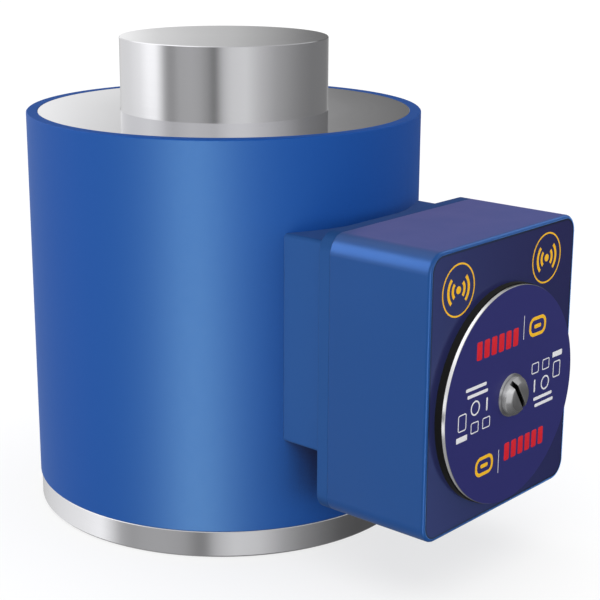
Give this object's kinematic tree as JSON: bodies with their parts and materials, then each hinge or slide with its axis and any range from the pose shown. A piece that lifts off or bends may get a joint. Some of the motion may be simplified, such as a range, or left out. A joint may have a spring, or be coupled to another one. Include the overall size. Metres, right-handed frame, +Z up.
{
  "type": "compression load cell",
  "caption": "Round compression load cell: steel load button and base, blue sleeve, and a side-mounted radio housing with a screw-held round battery cap.",
  "frame": {"origin": "centre of the round base's underside, where the load cell stands", "axes": "+Z up along the load axis; the radio housing faces -Y; +X to the right seen from the housing's front"},
  "size_m": [0.16, 0.2278, 0.192],
  "materials": {
    "stainless_steel": "finely turned and polished stainless steel",
    "blue_anodised": "satin blue anodised aluminium",
    "blue_moulding": "satin blue moulded glass-filled nylon, open to radio",
    "indigo_film": "dark indigo printed film",
    "turned_aluminium": "bright turned aluminium",
    "plated_steel": "plated steel",
    "brass_turned": "turned brass",
    "black_rubber": "black nitrile rubber",
    "circuit_board": "green glass-epoxy board",
    "shield_metal": "tinned steel can",
    "black_plastic": "black moulded plastic",
    "cable_jacket": "grey cable jacket",
    "gauge_foil": "amber foil gauge",
    "cell_jacket": "plain dark printed steel jacket",
    "spring_contact": "nickel-plated spring steel"
  },
  "bodies": {
    "load_cell": {"antenna_lead_left": "cable_jacket", "antenna_lead_right": "cable_jacket", "antenna_left": "circuit_board", "antenna_right": "circuit_board", "back_plate": "blue_anodised", "base_oring": "black_rubber", "base_screws": "plated_steel", "battery_carrier": "black_plastic", "battery_cell_1": "cell_jacket", "battery_cell_2": "cell_jacket", "battery_cell_3": "cell_jacket", "battery_cell_4": "cell_jacket", "block_screws": "plated_steel", "board_plug": "black_plastic", "board_screws": "plated_steel", "board_spacers": "brass_turned", "cable_bush": "black_rubber", "cap_pillar": "brass_turned", "contact_bridges": "spring_contact", "cover_inner_oring": "black_rubber", "cover_outer_oring": "black_rubber", "cover_ring": "stainless_steel", "cover_screws": "plated_steel", "cross_contact": "spring_contact", "front_overlay": "indigo_film", "gauge_leads": "cable_jacket", "housing_body": "blue_moulding", "housing_gasket": "black_rubber", "housing_screws": "plated_steel", "junction_board": "circuit_board", "junction_plug": "black_plastic", "junction_screws": "plated_steel", "load_element": "stainless_steel", "main_board": "circuit_board", "mounting_block": "blue_anodised", "outer_sleeve": "blue_anodised", "pillar_nut": "plated_steel", "plate_screws": "plated_steel", "radio_module": "shield_metal", "signal_cable": "cable_jacket", "strain_gauges": "gauge_foil", "terminal_contacts": "spring_contact"},
    "battery_cap": {"battery_cap": "turned_aluminium", "cap_gasket": "black_rubber", "cap_label": "indigo_film", "screw_washer": "plated_steel", "screw_oring": "black_rubber"},
    "cap_screw": {"cap_screw": "plated_steel", "retaining_ring": "plated_steel"}
  },
  "joints": [
    {"name": "cap_lift", "type": "slide", "parent": "load_cell", "child": "battery_cap", "axis": [0, -1, 0], "range_m": [0, 0.008]},
    {"name": "cap_screw_turn", "type": "hinge", "parent": "battery_cap", "child": "cap_screw", "pos_m": [0, -0.14, 0.0724], "axis": [0, -1, 0], "range_deg": [0, 2304]}
  ],
  "couplings": [
    {"joint": "cap_screw_turn", "follows": "cap_lift", "rad_per_m": 5026.5}
  ]
}
